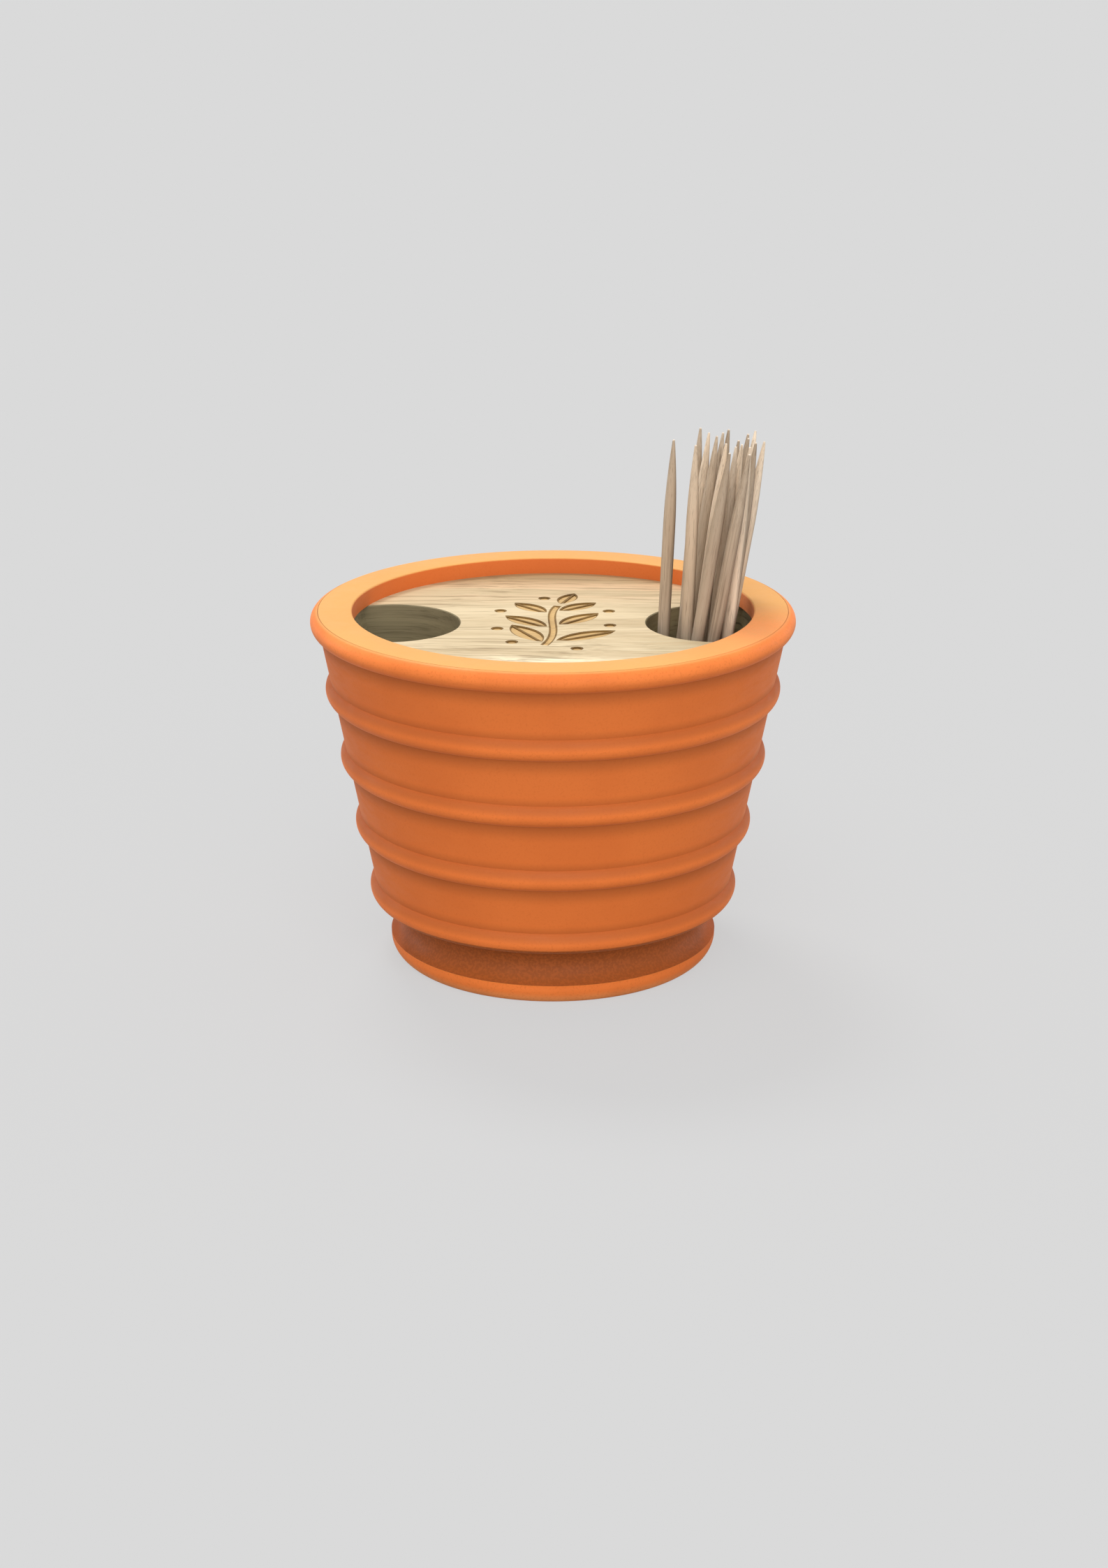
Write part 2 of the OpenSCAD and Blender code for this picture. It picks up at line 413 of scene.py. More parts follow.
def sprigCutters(grow, depth, midrib):
    # the stem, all the leaves and all the berries; no two shapes of one cutter meet
    leaves, berries = [], []
    spread = sprig["lastLeaf"] - sprig["firstLeaf"]
    for k in range(sprig["leafPairs"]):
        share = sprig["firstLeaf"] + spread * k / (sprig["leafPairs"] - 1)
        size = 1 - sprig["shrink"] * k / (sprig["leafPairs"] - 1)
        length = sprig["leafLength"] * size
        width = sprig["leafWidth"] * (sprig["widthKept"] + sprig["widthShrunk"] * size)
        for way in (-1, 1):
            place, along = stemPoint(share + (sprig["stagger"] if way > 0 else 0.0))
            turn = math.degrees(math.atan2(along[1], along[0])) - way * (90 - sprig["leafTurn"])
            out = Vector((math.cos(math.radians(turn)), math.sin(math.radians(turn))))
            middle = place + out * (sprig["leafGap"] + length / 2)
            halves = leafCutters(length + 2 * grow, width + 2 * grow, depth, midrib)
            leaves += standAt(halves, middle[0], middle[1], turn)
    sides = sprig["berrySides"]
    for share, out in sprig["berrySpots"]:
        place, along = stemPoint(share)
        spot = place + Vector((along[1], -along[0])) * out
        ring = arcPoints(*spot, sprig["berryRadius"] + grow, 0, 360 * (1 - 1 / sides), sides - 1)
        berries.append(addSlab(ring, depth))
    place, along = stemPoint(1.0)
    middle = place + along * (sprig["leafGap"] + sprig["tipLength"] / 2)
    width = sprig["leafWidth"] * sprig["tipWidthShare"]
    tip = leafCutters(sprig["tipLength"] + 2 * grow, width + 2 * grow, depth, midrib)
    leaves += standAt(tip, middle[0], middle[1], math.degrees(math.atan2(along[1], along[0])))
    return [stemCutter(sprig["stemWidth"] + 2 * grow, depth), joined(leaves), joined(berries)]


for cutter in sprigCutters(sprig["lineWidth"], sprig["lineDepth"], 0):
    cutWith(insertPiece, cutter)
for cutter in sprigCutters(0, sprig["floorDepth"], sprig["midrib"]):
    cutWith(insertPiece, cutter)
makeActive(insertPiece)
bpy.ops.object.mode_set(mode="EDIT")
weld(4 * weldGap)
bpy.ops.object.mode_set(mode="OBJECT")
print("sprig carved")

# from and to are depths under the block's top
finish = {
    "carvedHalf": 14.0, "carvedRadius": 20.0, "carvedFrom": 0.01, "carvedTo": 1.0,
    "floorShare": 0.6, "levelNormal": 0.75,
    "pocketFrom": 0.05, "pocketPast": 0.5, "pocketRound": 1.0,
}


def finishOf(face):
    # 0 lid wood, 1 pocket wood darkened as painted shade, 2 carved floor, 3 burnt line, by where the face
    # lies
    x, y, z = face.center / mm
    below = ledgeZ - z
    fromMiddle = math.hypot(x, y)
    inSprig = abs(x) < finish["carvedHalf"] and fromMiddle < finish["carvedRadius"]
    if inSprig and finish["carvedFrom"] < below < finish["carvedTo"]:
        deep = below > finish["floorShare"] * sprig["floorDepth"]
        return 2 if deep and face.normal.z > finish["levelNormal"] else 3
    inBore = math.hypot(abs(x) - pocketX, y) < insert["pocketRadius"] + finish["pocketRound"]
    inBlock = fromMiddle < insertRadius(z) - insert["wall"] / 2
    inDepth = finish["pocketFrom"] < below < insert["pocketDepth"] + finish["pocketPast"]
    return 1 if inBore and inBlock and inDepth else 0


insertFinish = [finishOf(face) for face in insertPiece.data.polygons]
smoothBelow(insertPiece, insert["smoothDeg"])
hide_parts("wood_insert")
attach(insertPiece, "lid")
print("insert bored")


# Toothpicks

pick = {
    "radius": 1.0, "length": 65.0, "taper": 14.6, "tipRadius": 0.175, "swell": 0.9,
    "sides": 24, "taperSteps": 14, "smoothDeg": 40, "farSide": (0.9, 0.44, 0.0),
    # from one pick to the next, in metres and radians
    "grainShift": (0.031, 0.017, 0.0), "roll": 2.4,
}


def pickOutline():
    half = pick["length"] / 2
    swelling = pick["radius"] - pick["tipRadius"]
    up = []
    for i in range(pick["taperSteps"] + 1):
        share = i / pick["taperSteps"]
        radius = pick["tipRadius"] + swelling * math.sin(math.pi / 2 * share) ** pick["swell"]
        up.append((radius, share * pick["taper"] - half))
    down = [(r, -z) for r, z in reversed(up)]
    return [(0, -half)] + up + down + [(0, half)]


masterPick = turnOutline("masterPick", pickOutline(), pick["sides"], False)
smoothBelow(masterPick, pick["smoothDeg"])


def placePick(number, pull):
    makeActive(masterPick)
    bpy.ops.object.duplicate(linked=False)
    piece = bpy.context.object
    piece.name = piece.data.name = f"pick_{number}"
    # the wood's grain follows each pick, starting from its own place in the plank
    grain = piece.data.attributes.new("grainPlace", "FLOAT_VECTOR", "POINT")
    shift = Vector([v * number for v in pick["grainShift"]])
    for vertex in piece.data.vertices:
        grain.data[vertex.index].vector = vertex.co + shift
    low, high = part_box(f"toothpick_{number}")
    middle = (low + high) / 2
    axis = Vector(pull["axis"]).normalized()
    lean = axis.to_track_quat("Z", "Y").to_matrix().to_4x4()
    piece.matrix_world = Matrix.Translation(middle) @ lean @ Matrix.Rotation(number * pick["roll"], 4, "Z")
    bakePlace(piece)
    # how much each point of the pick lies round to the right and back, for the painted shade on that side
    shadeSideData = piece.data.attributes.new("farSide", "FLOAT", "POINT")
    for vertex in piece.data.vertices:
        fromAxis = vertex.co - middle
        fromAxis -= axis * fromAxis.dot(axis)
        shadeSideData.data[vertex.index].value = fromAxis.dot(Vector(pick["farSide"])) / (pick["radius"] * mm)
    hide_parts(f"toothpick_{number}")
    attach(piece, pull["child"])
    return piece


pulls = [joint for joint in frame["joints"] if joint["child"].startswith("toothpick_")]
pickPieces = [placePick(number, pull) for number, pull in enumerate(pulls, 1)]
bpy.data.objects.remove(masterPick)
print("toothpicks placed")


# Materials

flat = (1.0, 1.0, 0.0)


def newMaterial(name):
    material = bpy.data.materials.new(name)
    material.use_nodes = True
    tree = material.node_tree
    tree.nodes.clear()
    shader = tree.nodes.new("ShaderNodeBsdfPrincipled")
    out = tree.nodes.new("ShaderNodeOutputMaterial")
    tree.links.new(shader.outputs["BSDF"], out.inputs["Surface"])
    return material, tree, shader


def newGroup(name, inputs, outputs):
    # the sockets are listed by their kind
    group = bpy.data.node_groups.new(name, "ShaderNodeTree")
    for way, sockets in (("INPUT", inputs), ("OUTPUT", outputs)):
        for kind, names in sockets.items():
            for socketName in names:
                group.interface.new_socket(name=socketName, in_out=way, socket_type="NodeSocket" + kind)
    return group, group.nodes.new("NodeGroupInput").outputs, group.nodes.new("NodeGroupOutput").inputs


def feed(tree, socket, value):
    if isinstance(value, bpy.types.NodeSocket):
        tree.links.new(value, socket)
    else:
        socket.default_value = value


def maths(tree, operation, a, b=0.0):
    node = tree.nodes.new("ShaderNodeMath")
    node.operation = operation
    feed(tree, node.inputs[0], a)
    feed(tree, node.inputs[1], b)
    return node.outputs[0]


def times(tree, product, *factors):
    for factor in factors:
        product = maths(tree, "MULTIPLY", product, factor)
    return product


def vectorMaths(tree, operation, a, b=None):
    node = tree.nodes.new("ShaderNodeVectorMath")
    node.operation = operation
    feed(tree, node.inputs[0], a)
    if b is not None:
        feed(tree, node.inputs["Scale" if operation == "SCALE" else 1], b)
    return node.outputs["Value" if operation == "LENGTH" else "Vector"]


def distanceOn(tree, axes, place, middle=(0.0, 0.0, 0.0)):
    # how far a place is from a middle, counting only the axes marked with a 1
    kept = vectorMaths(tree, "MULTIPLY", place, axes)
    return vectorMaths(tree, "LENGTH", vectorMaths(tree, "SUBTRACT", kept, middle))


def ramp(tree, value, low, high, toLow=0.0, toHigh=1.0):
    node = tree.nodes.new("ShaderNodeMapRange")
    node.interpolation_type = "SMOOTHSTEP"
    names = ("Value", "From Min", "From Max", "To Min", "To Max")
    for name, v in zip(names, (value, low, high, toLow, toHigh)):
        feed(tree, node.inputs[name], v)
    return node.outputs[0]


def fade(tree, value, stretch, least=0.0, most=1.0):
    # from least to most over a stretch in mm
    return ramp(tree, value, stretch[0] * mm, stretch[1] * mm, least, most)


def hump(tree, value, rise, fall):
    # up over one ramp and down again over another
    return times(tree, ramp(tree, value, *rise), ramp(tree, value, *fall))


def blendColour(tree, share, a, b):
    # a colour mix has its colours at inputs 6 and 7 and gives its result at output 2
    node = tree.nodes.new("ShaderNodeMix")
    node.data_type = "RGBA"
    feed(tree, node.inputs[0], share)
    feed(tree, node.inputs[6], a)
    feed(tree, node.inputs[7], b)
    return node.outputs[2]


def noise(tree, place, scale, detail, roughness, output="Fac"):
    node = tree.nodes.new("ShaderNodeTexNoise")
    feed(tree, node.inputs["Vector"], place)
    node.inputs["Scale"].default_value = scale
    node.inputs["Detail"].default_value = detail
    node.inputs["Roughness"].default_value = roughness
    return node.outputs[output]


def stretchedNoise(tree, place, stretch, detail, roughness):
    return noise(tree, vectorMaths(tree, "MULTIPLY", place, stretch), 1, detail, roughness)


def objectPlace(tree):
    return tree.nodes.new("ShaderNodeTexCoord").outputs["Object"]


def attribute(tree, name):
    node = tree.nodes.new("ShaderNodeAttribute")
    node.attribute_name = name
    return node.outputs


def partsOf(tree, vector):
    node = tree.nodes.new("ShaderNodeSeparateXYZ")
    feed(tree, node.inputs[0], vector)
    return node.outputs


def useGroup(tree, group, values):
    node = tree.nodes.new("ShaderNodeGroup")
    node.node_tree = group
    for name, value in values.items():
        feed(tree, node.inputs[name], value)
    return node.outputs


def wearSkin(tree, shader, skin, look):
    # what a skin group gives goes to the shader
    tree.links.new(skin["Colour"], shader.inputs["Base Color"])
    tree.links.new(skin["Roughness"], shader.inputs["Roughness"])
    shader.inputs["Specular IOR Level"].default_value = look["specular"]
    bump = tree.nodes.new("ShaderNodeBump")
    bump.inputs["Strength"].default_value = look["bump"]
    bump.inputs["Distance"].default_value = look["bumpDepth"] * mm
    tree.links.new(skin["Height"], bump.inputs["Height"])
    tree.links.new(bump.outputs["Normal"], shader.inputs["Normal"])


# In the settings of the three groups, a noise is its scale, if it isn't stretched, its detail and
# its roughness, and a fade is the two ends of a ramp, with what it gives there if not 0 and 1.
skinOutputs = {"Color": ("Colour",), "Float": ("Roughness", "Height")}

# moulded plastic: cloudy tone, a fine speckle from the tool, and faint scuffs
mould = {
    "cloud": (55, 3, 0.55), "cloudFade": (0.38, 0.66),
    "speck": (2600, 2, 0.6), "speckFade": (0.5, 0.72), "speckHeight": 0.7,
    "scuff": (3, 0.6), "scuffStretch": (260.0, 260.0, 900.0),
    "scuffFade": (0.3, 0.7, -0.06, 0.07), "scuffHeight": 0.3,
}
moulded, given, made = newGroup(
    "mouldedSkin",
    {"Vector": ("Place",), "Color": ("Colour", "Deep Colour"), "Float": ("Cloud", "Speckle", "Shine")},
    skinOutputs)
cloud = noise(moulded, given["Place"], *mould["cloud"])
speck = noise(moulded, given["Place"], *mould["speck"])
scuff = stretchedNoise(moulded, given["Place"], mould["scuffStretch"], *mould["scuff"])
tone = times(moulded, ramp(moulded, cloud, *mould["cloudFade"]), given["Cloud"])
fleck = times(moulded, ramp(moulded, speck, *mould["speckFade"]), given["Speckle"])
skin = blendColour(moulded, tone, given["Colour"], given["Deep Colour"])
skin = blendColour(moulded, fleck, skin, given["Deep Colour"])
rough = maths(moulded, "ADD", given["Shine"], ramp(moulded, scuff, *mould["scuffFade"]))
specked = times(moulded, speck, mould["speckHeight"])
scuffed = times(moulded, scuff, mould["scuffHeight"])
feed(moulded, made["Colour"], skin)
feed(moulded, made["Roughness"], rough)
feed(moulded, made["Height"], maths(moulded, "ADD", specked, scuffed))

# wood with its grain along X: broad bands, streaks, and short dark pores
grained = {
    "drift": (26, 2, 0.5), "driftMiddle": (0.5, 0.5, 0.5),
    "band": (5, 0.6), "bandFade": (0.38, 0.62),
    "streak": (4, 0.6), "streakFade": (0.45, 0.74), "streakHeight": 0.5, "roughFade": (0.3, 0.7, 0.52, 0.72),
    "pore": (2, 0.6), "poreFade": (0.56, 0.68),
    "patch": (1, 0.5), "patchStretch": (24.0, 90.0, 30.0), "patchFade": (0.4, 0.62, 0.15, 1.0),
}
figured, given, made = newGroup(
    "woodFigure",
    {"Vector": ("Place", "Band", "Streak", "Pore"), "Color": ("Pale", "Mid", "Dark"),
     "Float": ("Waver", "Bands", "Streaks", "Pores")},
    skinOutputs)
drift = noise(figured, given["Place"], *grained["drift"], output="Color")
drift = vectorMaths(figured, "SUBTRACT", drift, grained["driftMiddle"])
drift = vectorMaths(figured, "SCALE", drift, given["Waver"])
bent = vectorMaths(figured, "ADD", given["Place"], drift)
band = stretchedNoise(figured, bent, given["Band"], *grained["band"])
streak = stretchedNoise(figured, bent, given["Streak"], *grained["streak"])
pore = stretchedNoise(figured, bent, given["Pore"], *grained["pore"])
patch = stretchedNoise(figured, bent, grained["patchStretch"], *grained["patch"])
bandMask = times(figured, ramp(figured, band, *grained["bandFade"]), given["Bands"])
streakShare = times(figured, ramp(figured, patch, *grained["patchFade"]), given["Streaks"])
streakMask = times(figured, ramp(figured, streak, *grained["streakFade"]), streakShare)
poreMask = times(figured, ramp(figured, pore, *grained["poreFade"]), given["Pores"])
wood = blendColour(figured, bandMask, given["Pale"], given["Mid"])
wood = blendColour(figured, streakMask, wood, given["Dark"])
wood = blendColour(figured, poreMask, wood, given["Dark"])
ridges = times(figured, streak, grained["streakHeight"])
feed(figured, made["Colour"], wood)
feed(figured, made["Roughness"], ramp(figured, streak, *grained["roughFade"]))
feed(figured, made["Height"], maths(figured, "SUBTRACT", ridges, poreMask))

# painted shade in the creases above and below each rib and in the groove over the foot, and painted highlight
# where the skin stands out, on the ribs and the foot
folding = {
    # across a rib, in creases up from its middle
    "underRise": (-2.7, -1.05), "underFall": (-0.85, -1.05),
    "overRise": (0.0, 0.7), "overFall": (1.9, 0.8),
    "crestRise": (-0.95, -0.4), "crestFall": (0.4, -0.15),
    # up the pot, in ribs
    "ribsFrom": (0.95, 1.05), "ribsTo": (4.97, 4.9),
    "grooveRise": (0.25, 0.8, 0.8, 1.0), "grooveFall": (0.97, 0.87),
    "footHighlight": 1.65, "grain": (2300, 1, 0.5), "grainFade": (0.35, 0.6, 0.82, 1.04),
}
shadedFolds, given, made = newGroup(
    "ribShading",
    {"Vector": ("Place", "Groove Middle"),
     "Float": ("Pitch", "Crease", "Lean", "Skin Radius", "Groove Radius", "Foot Height")},
    {"Float": ("Crease Shade", "Highlight", "Groove")})
height = partsOf(shadedFolds, given["Place"])["Z"]
ringRadius = distanceOn(shadedFolds, flat, given["Place"])
leaning = maths(shadedFolds, "SUBTRACT", ringRadius, times(shadedFolds, height, given["Lean"]))
outside = maths(shadedFolds, "GREATER_THAN", leaning, given["Skin Radius"])
turns = maths(shadedFolds, "DIVIDE", height, given["Pitch"])
nearest = times(shadedFolds, maths(shadedFolds, "SUBTRACT", turns, maths(shadedFolds, "ROUND", turns)), given["Pitch"])
across = maths(shadedFolds, "DIVIDE", nearest, given["Crease"])
# painted shade in the creases under and over each rib
under = hump(shadedFolds, across, folding["underRise"], folding["underFall"])
over = hump(shadedFolds, across, folding["overRise"], folding["overFall"])
aboveFirst = ramp(shadedFolds, turns, *folding["ribsFrom"])
belowBead = ramp(shadedFolds, turns, *folding["ribsTo"])
feed(shadedFolds, made["Crease Shade"], times(shadedFolds, maths(shadedFolds, "MAXIMUM", under, over), aboveFirst, belowBead, outside))
# painted highlight along the middle of each rib, and over all of the foot
crestHighlight = hump(shadedFolds, across, folding["crestRise"], folding["crestFall"])
atFoot = maths(shadedFolds, "LESS_THAN", height, given["Foot Height"])
footHighlight = times(shadedFolds, atFoot, folding["footHighlight"])
feed(shadedFolds, made["Highlight"], maths(shadedFolds, "MAXIMUM", times(shadedFolds, crestHighlight, belowBead, outside), footHighlight))
onPlane = shadedFolds.nodes.new("ShaderNodeCombineXYZ")
feed(shadedFolds, onPlane.inputs["X"], ringRadius)
feed(shadedFolds, onPlane.inputs["Z"], height)
fromGroove = vectorMaths(shadedFolds, "SUBTRACT", onPlane.outputs[0], given["Groove Middle"])
inGroove = maths(shadedFolds, "LESS_THAN", vectorMaths(shadedFolds, "LENGTH", fromGroove), given["Groove Radius"])
aboveFoot = maths(shadedFolds, "GREATER_THAN", height, given["Foot Height"])
upGroove = hump(shadedFolds, turns, folding["grooveRise"], folding["grooveFall"])
grain = ramp(shadedFolds, noise(shadedFolds, given["Place"], *folding["grain"]), *folding["grainFade"])
feed(shadedFolds, made["Groove"], times(shadedFolds, inGroove, aboveFoot, upGroove, grain))


def plasticMaterial(name, look):
    material, tree, shader = newMaterial(name)
    place = objectPlace(tree)
    parts = partsOf(tree, place)
    sideways = maths(tree, "ABSOLUTE", parts["X"])
    # the flat top is painted paler: a painted highlight from the light above
    topLit = fade(tree, parts["Z"], look["topLitOver"])
    # painted highlight: the bead is painted brighter round the sides and the collar brighter to the right,
    # and a painted shadow of the picks turns the right of the flat top a deeper orange
    sides = fade(tree, sideways if look["bothSides"] else parts["X"], look["sideOver"], look["sideHighlightLeast"])
    beaded = times(tree, sides, fade(tree, parts["Z"], look["beadOver"]))
    skinTone = blendColour(tree, beaded, look["colour"], look["bead"])
    # painted shadow of the picks on the flat top, a deeper orange to their front right
    fromPickShadow = distanceOn(tree, flat, place, look["pickShadowPlace"])
    pickShadowed = fade(tree, fromPickShadow, look["pickShadowOver"], 0.0, look["pickShadows"])
    colour = blendColour(tree, topLit, skinTone, blendColour(tree, pickShadowed, look["pale"], look["pickShadow"]))
    deep = blendColour(tree, topLit, look["deep"], look["topLitDeep"])
    if look["shadedFolds"]:
        shading = useGroup(tree, shadedFolds, {
            "Place": place, "Pitch": beadZ / (pot["ribs"] + 1) * mm, "Crease": look["crease"] * mm,
            "Lean": leanTan, "Foot Height": pot["footHeight"] * mm,
            "Skin Radius": (footR - look["skin"]) * mm, "Groove Radius": (grooveR + look["skin"]) * mm,
            "Groove Middle": (grooveMid[0] * mm, 0.0, grooveMid[1] * mm)})
        # painted highlight on the ribs and the foot
        colour = blendColour(tree, times(tree, shading["Highlight"], look["crestHighlights"]), colour, look["crestHighlight"])
        # painted light on the lower edge of the foot, where it rounds to the floor
        footEdge = fade(tree, parts["Z"], look["footEdgeLightOver"], 0.0, look["footEdgeLights"])
        colour = blendColour(tree, footEdge, colour, look["footEdge"])
        # the painted shade in the groove is lighter at its two ends
        ends = fade(tree, sideways, look["endOver"], look["endLeast"], look["grooveShading"])
        foldShade = times(tree, shading["Crease Shade"], look["shadedFolds"])
        share = maths(tree, "ADD", foldShade, times(tree, shading["Groove"], ends))
        colour = blendColour(tree, share, colour, look["foldShade"])
        deep = blendColour(tree, share, deep, look["foldShade"])
    # the fine line where the collar meets the pot's lip
    offSeam = maths(tree, "SUBTRACT", distanceOn(tree, flat, place), rebateRadius * mm)
    seam = fade(tree, maths(tree, "ABSOLUTE", offSeam), look["seamOver"], 0.0, look["seams"])
    line = times(tree, seam, topLit)
    colour = blendColour(tree, line, colour, look["seam"])
    deep = blendColour(tree, line, deep, look["seam"])
    skin = useGroup(tree, moulded, {
        "Place": place, "Colour": colour, "Deep Colour": deep,
        "Cloud": look["cloud"], "Speckle": look["speckle"], "Shine": look["roughness"]})
    wearSkin(tree, shader, skin, look)
    shader.inputs["Sheen Weight"].default_value = look["sheen"]
    shader.inputs["Sheen Roughness"].default_value = look["sheenSpread"]
    shader.inputs["Sheen Tint"].default_value = look["sheenTint"]
    return material


# In the looks, Over marks a stretch in mm, from where a tone starts to where it is full.
potLook = {
    "colour": fromScreen(224, 118, 54), "deep": fromScreen(209, 104, 45),
    # the pale tones of the flat top are a painted highlight
    "pale": fromScreen(228, 164, 93), "topLitDeep": fromScreen(221, 155, 85), "topLitOver": (59.15, 59.5),
    # the brighter tone of the bead is a painted highlight
    "bead": fromScreen(253, 140, 68), "beadOver": (56.7, 58.0),
    "bothSides": True, "sideOver": (12.0, 38.0), "sideHighlightLeast": 0.55,
    # the painted shadow of the picks on the flat top
    "pickShadow": fromScreen(255, 155, 87), "pickShadows": 0.8,
    "pickShadowPlace": (32.0 * mm, -19.0 * mm, 0.0), "pickShadowOver": (23.0, 7.0),
    # the painted shade in the creases and the groove
    "crease": 1.83, "skin": 1.3, "foldShade": fromScreen(138, 73, 33), "shadedFolds": 0.44,
    "grooveShading": 0.88, "endOver": (26.8, 24.2), "endLeast": 0.36,
    # painted highlight on the ribs and the foot
    "crestHighlight": fromScreen(244, 130, 60), "crestHighlights": 0.6,
    # painted light on the lower edge of the foot
    "footEdge": fromScreen(255, 166, 98), "footEdgeLights": 0.8, "footEdgeLightOver": (2.1, 0.5),
    "seam": fromScreen(196, 122, 66), "seams": 0.45, "seamOver": (0.14, 0.04),
    "cloud": 0.35, "speckle": 0.35, "roughness": 0.55, "specular": 0.17, "bump": 0.25, "bumpDepth": 0.05,
    "sheen": 0.35, "sheenSpread": 0.32, "sheenTint": fromScreen(255, 176, 132),
}
collarLook = dict(
    potLook, colour=fromScreen(218, 115, 55), pale=fromScreen(227, 168, 96),
    topLitDeep=fromScreen(220, 159, 88), topLitOver=(59.2, 59.44),
    # the brighter tone of the collar to the right is a painted highlight
    bead=fromScreen(255, 150, 88), beadOver=(50.0, 51.0),
    bothSides=False, sideOver=(20.0, 31.0), sideHighlightLeast=0.0, shadedFolds=0.0)


def wearWood(tree, shader, place, look, tones):
    figure = useGroup(tree, figured, {
        "Place": place, "Pale": tones[0], "Mid": tones[1], "Dark": tones[2],
        "Band": look["band"], "Streak": look["streak"], "Pore": look["pore"], "Waver": look["waver"],
        "Bands": look["bands"], "Streaks": look["streaks"], "Pores": look["pores"]})
    wearSkin(tree, shader, figure, look)
    return figure


lidLook = {
    "pale": fromScreen(218, 198, 161), "mid": fromScreen(200, 178, 140), "dark": fromScreen(128, 105, 72),
    # the paler front is painted light
    "front": fromScreen(253, 236, 200), "frontLitOver": (-9.0, -20.0),
    "rosy": fromScreen(222, 187, 147), "rosyOver": (9.0, 23.0), "rosyShare": 0.95,
    # the brown back is partly darker wood and partly painted shade
    "brown": fromScreen(160, 130, 88), "brownOver": (21.0, 31.0), "brownShare": 0.85,
    # a painted shadow of the picks, to their front right
    "pickShade": fromScreen(178, 168, 136), "pickShadePlace": (21.0 * mm, -16.0 * mm, 0.0), "pickShadeOver": (11.0, 3.0),
    "pickShadeShare": 0.55,
    "sideOver": (ledgeZ - 0.15, ledgeZ - 0.45), "endOver": (5.0, 18.0), "endShare": 0.85,
    "pith": (0.0, 14.0 * mm, -45.0 * mm), "pithAxes": (0.0, 1.0, 1.0),
    "ringPitch": 3.0, "ringFade": (0.08, 0.5), "ringNoise": (90, 2, 0.5), "ringWander": 4.5,
    "ringPale": fromScreen(217, 196, 158), "ringDark": fromScreen(201, 178, 138),
    "band": (13.0, 200.0, 150.0), "streak": (30.0, 950.0, 700.0), "pore": (110.0, 3900.0, 2200.0),
    "waver": 0.01, "bands": 0.9, "streaks": 0.9, "pores": 0.35,
    "specular": 0.25, "bump": 0.3, "bumpDepth": 0.1,
}
# the dark tones of the pockets are painted shade inside the bores
pocketShadeLook = dict(
    lidLook, rosyShare=0.0, pale=fromScreen(158, 146, 113), mid=fromScreen(138, 127, 98),
    dark=fromScreen(84, 74, 54), band=(9.0, 60.0, 300.0), streak=(14.0, 180.0, 1300.0),
    pore=(60.0, 700.0, 4200.0), waver=0.001, specular=0.15)
floorLook = dict(
    lidLook, rosyShare=0.0, pale=fromScreen(210, 174, 116), mid=fromScreen(192, 156, 101),
    dark=fromScreen(146, 110, 66), streaks=0.6)
burntLook = dict(
    lidLook, rosyShare=0.0, pale=fromScreen(140, 110, 62), mid=fromScreen(112, 84, 44),
    dark=fromScreen(78, 58, 32), specular=0.15)


def facedWood(name, look):
    material, tree, shader = newMaterial(name)
    place = objectPlace(tree)
    if not look["rosyShare"]:
        wearWood(tree, shader, place, look, (look["pale"], look["mid"], look["dark"]))
        return material
    # the top is painted paler at the front as painted light, rosy and then brown to the back, the brown
    # partly darker wood and partly painted shade by the collar, with a greyish painted shadow of the picks
    parts = partsOf(tree, place)
    rosy = fade(tree, parts["Y"], look["rosyOver"], 0.0, look["rosyShare"])
    brown = fade(tree, parts["Y"], look["brownOver"], 0.0, look["brownShare"])
    fromPickShade = distanceOn(tree, flat, place, look["pickShadePlace"])
    pickShade = fade(tree, fromPickShade, look["pickShadeOver"], 0.0, look["pickShadeShare"])
    pale = blendColour(tree, fade(tree, parts["Y"], look["frontLitOver"]), look["pale"], look["front"])
    pale = blendColour(tree, pickShade, pale, look["pickShade"])
    pale = blendColour(tree, rosy, pale, look["rosy"])
    pale = blendColour(tree, brown, pale, look["brown"])
    mid = blendColour(tree, brown, look["mid"], look["brown"])
    figure = wearWood(tree, shader, place, look, (pale, mid, look["dark"]))
    # the block's sides show end grain where they face along X: calm, with faint rings
    endways = fade(tree, maths(tree, "ABSOLUTE", parts["X"]), look["endOver"], 0.0, look["endShare"])
    onSide = fade(tree, parts["Z"], look["sideOver"])
    wander = times(tree, noise(tree, place, *look["ringNoise"]), look["ringWander"] * mm)
    fromPith = distanceOn(tree, look["pithAxes"], place, look["pith"])
    turns = maths(tree, "DIVIDE", maths(tree, "ADD", fromPith, wander), look["ringPitch"] * mm)
    ringed = ramp(tree, maths(tree, "PINGPONG", turns, 0.5), *look["ringFade"])
    endGrain = blendColour(tree, ringed, look["ringDark"], look["ringPale"])
    colour = blendColour(tree, times(tree, onSide, endways), figure["Colour"], endGrain)
    tree.links.new(colour, shader.inputs["Base Color"])
    return material


